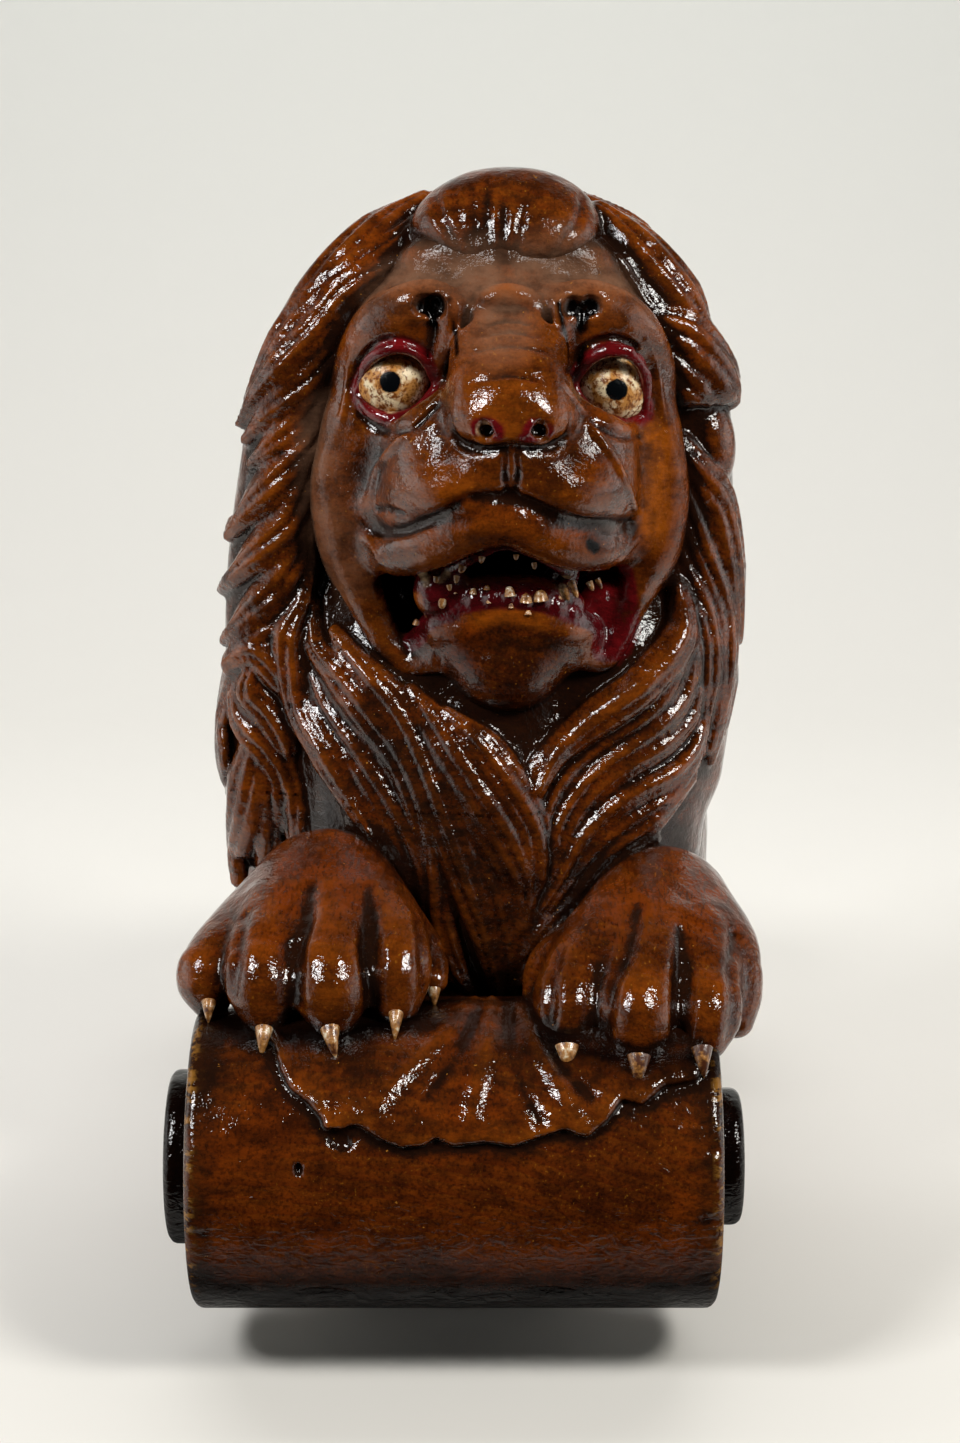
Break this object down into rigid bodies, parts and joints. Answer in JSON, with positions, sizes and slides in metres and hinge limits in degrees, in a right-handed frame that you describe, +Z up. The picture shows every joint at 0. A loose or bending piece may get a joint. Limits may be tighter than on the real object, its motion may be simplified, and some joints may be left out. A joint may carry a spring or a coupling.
{
  "type": "ship rudder carving",
  "caption": "Varnished wooden lion lying with its fore paws on a scroll, its mouth open, carved with its narrow base from one block.",
  "frame": {"origin": "centre of the flat underside of the narrow base block, on the plane the carving stands on", "axes": "+X to the right of a viewer who faces the lion, +Y from the lion's face towards its tail, +Z up"},
  "size_m": [0.2305, 0.518, 0.4474],
  "materials": {
    "varnished_wood": "thick glossy varnish"
  },
  "bodies": {
    "root": {"lion_carving": "varnished_wood"}
  },
  "joints": []
}
